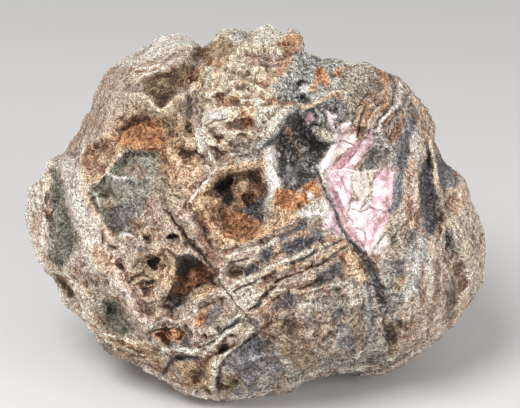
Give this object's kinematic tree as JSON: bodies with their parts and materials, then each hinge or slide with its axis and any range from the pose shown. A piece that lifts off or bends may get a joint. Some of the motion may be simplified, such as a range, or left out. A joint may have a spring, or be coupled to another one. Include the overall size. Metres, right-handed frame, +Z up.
{
  "type": "rhodochrosite specimen",
  "caption": "Rough weathered stone with a window of pink rhodochrosite in its front, for display; it rests on a flat cut under it.",
  "frame": {"origin": "on the flat that the stone rests on, under the middle of its front", "axes": "+Z up, +X to the right of the front, along the longest side, and -Y towards whoever looks at the front"},
  "size_m": [0.1479, 0.1116, 0.1104],
  "materials": {
    "stone": "rough weathered rock with a broken window of pink rhodochrosite"
  },
  "bodies": {
    "root": {"rhodochrosite_stone": "stone"}
  },
  "joints": []
}
